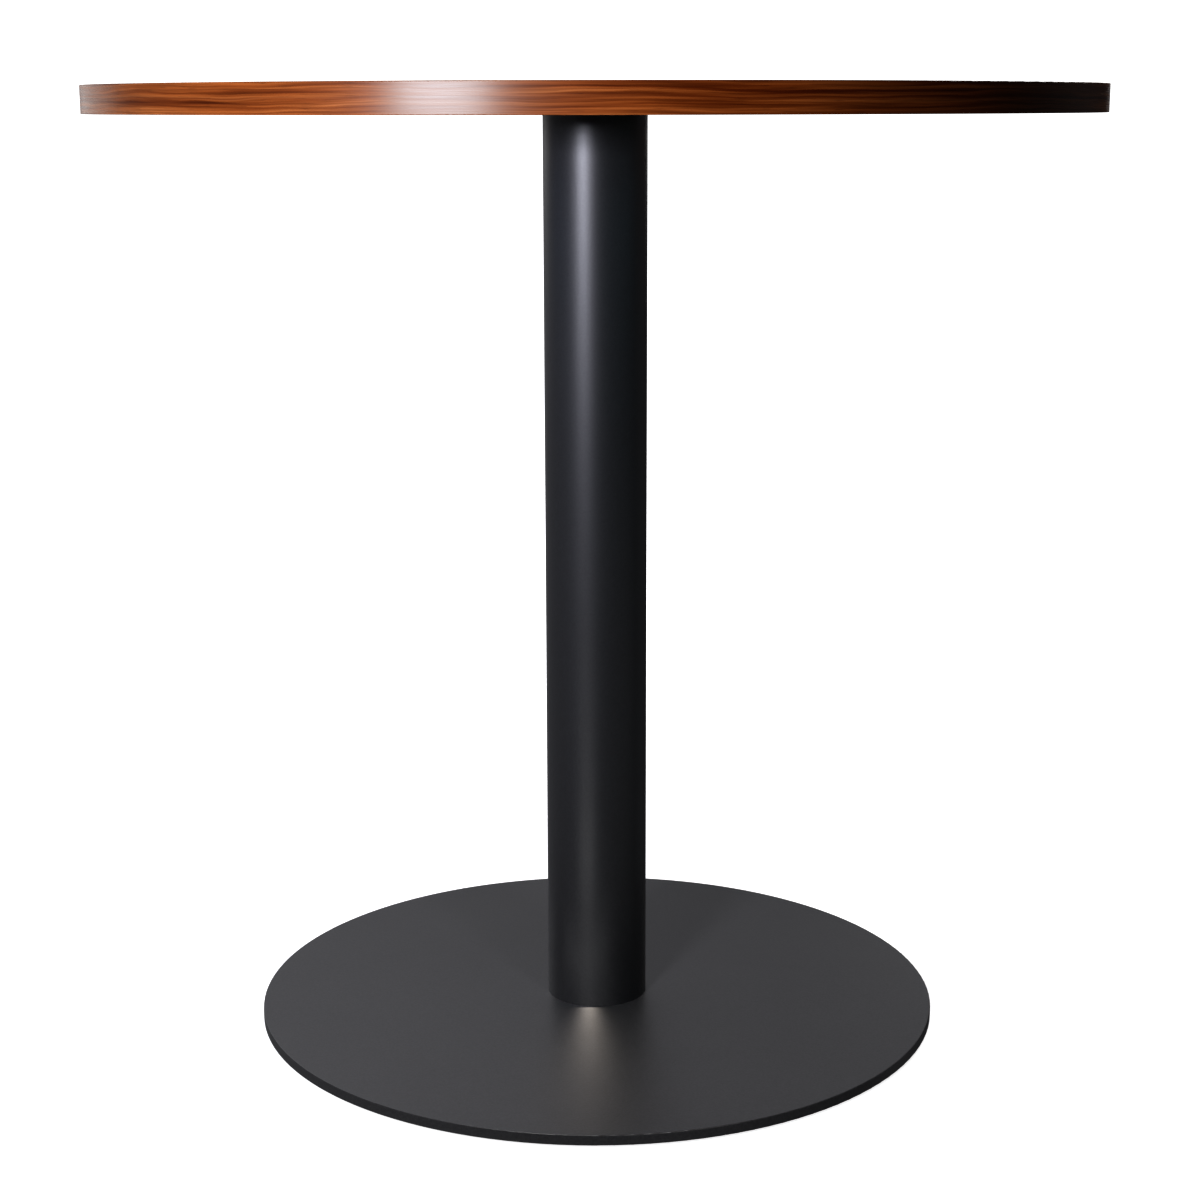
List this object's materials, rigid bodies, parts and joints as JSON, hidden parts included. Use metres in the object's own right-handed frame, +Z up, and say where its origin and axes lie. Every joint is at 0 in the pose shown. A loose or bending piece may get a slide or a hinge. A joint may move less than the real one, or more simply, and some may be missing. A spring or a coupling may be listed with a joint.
{
  "type": "round dining table",
  "caption": "Round pedestal dining table: thin wood-veneered disc top on a straight black steel column, which stands on a flat round black base plate.",
  "frame": {"origin": "on the floor, at the centre of the base, on the column's axis", "axes": "+Z up along the column, +X to the right and +Y to the back as the picture sees the table; the seam of the edge band is at +Y"},
  "size_m": [0.762, 0.762, 0.737],
  "materials": {
    "wood_veneer": "gloss",
    "wood_edge": "gloss",
    "backing_veneer": "satin",
    "core_board": "matte",
    "black_coated_steel": "satin",
    "black_screws": "satin",
    "bare_steel": "satin",
    "zinc_steel": "satin",
    "glide_plastic": "matte"
  },
  "bodies": {
    "root": {"face_veneer": "wood_veneer", "top_core": "core_board", "backing_veneer": "backing_veneer", "edge_band": "wood_edge", "threaded_inserts": "zinc_steel", "top_plate": "black_coated_steel", "top_plate_screws": "black_screws", "column_tube": "black_coated_steel", "top_plug": "bare_steel", "bottom_plug": "bare_steel", "plug_welds": "bare_steel", "plate_to_column_screws": "black_screws", "base_plate": "black_coated_steel", "base_to_column_screws": "black_screws", "floor_glides": "glide_plastic"}
  },
  "joints": []
}
